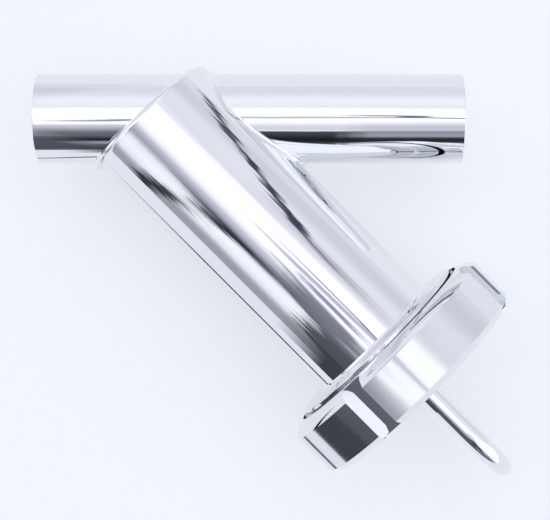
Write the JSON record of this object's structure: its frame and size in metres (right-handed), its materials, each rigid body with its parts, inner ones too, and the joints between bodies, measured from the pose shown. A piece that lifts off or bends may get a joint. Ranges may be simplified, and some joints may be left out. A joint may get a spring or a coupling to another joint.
{
  "type": "hygienic y-type strainer",
  "caption": "Polished steel Y-type line strainer: plain pipe ends, a barrel branching at an angle, a slotted union nut, and a blank cap with a bow handle over a lift-out basket.",
  "frame": {"origin": "crossing of the run's axis and the barrel's axis", "axes": "+X along the run in the direction of flow, the barrel leaves towards +X and -Y in the XY plane, +Z square to both axes"},
  "size_m": [0.1741, 0.1512, 0.092],
  "materials": {
    "polished_steel": "mirror-polished stainless steel, no plating, with fine lengthwise polishing lines",
    "satin_steel": "fine turned satin stainless steel",
    "inner_steel": "plain mill-finish stainless steel sheet and tube bore",
    "weld_steel": "ground weld, faintly rippled",
    "gasket_rubber": "smooth white food-grade elastomer"
  },
  "bodies": {
    "housing": {"inlet_tube": "polished_steel", "outlet_tube": "polished_steel", "barrel_tube": "polished_steel", "end_plate": "polished_steel", "seat_ring": "inner_steel", "thread_ferrule": "satin_steel", "gasket": "gasket_rubber", "weld_inlet": "weld_steel", "weld_outlet": "weld_steel", "weld_end_plate": "weld_steel", "weld_ferrule": "weld_steel"},
    "basket": {"basket_tube": "inner_steel", "basket_seam": "inner_steel", "basket_top_ring": "inner_steel", "basket_base": "inner_steel", "basket_grip": "inner_steel"},
    "cap": {"blank_cap": "satin_steel", "handle_loop": "polished_steel", "handle_weld_a": "weld_steel", "handle_weld_b": "weld_steel"},
    "nut": {"union_nut": "polished_steel"}
  },
  "joints": [
    {"name": "basket_pull", "type": "slide", "parent": "housing", "child": "basket", "axis": [0.7071, -0.7071, 0], "range_m": [0, 0.15]},
    {"name": "cap_travel", "type": "slide", "parent": "basket", "child": "cap", "axis": [0.7071, -0.7071, 0], "range_m": [0, 0.0127]},
    {"name": "nut_turn", "type": "hinge", "parent": "cap", "child": "nut", "pos_m": [0.0905, -0.0905, 0], "axis": [0.7071, -0.7071, 0], "range_deg": [0, 1080]}
  ],
  "couplings": [
    {"joint": "cap_travel", "follows": "nut_turn", "m_per_rad": 0.00067323}
  ]
}
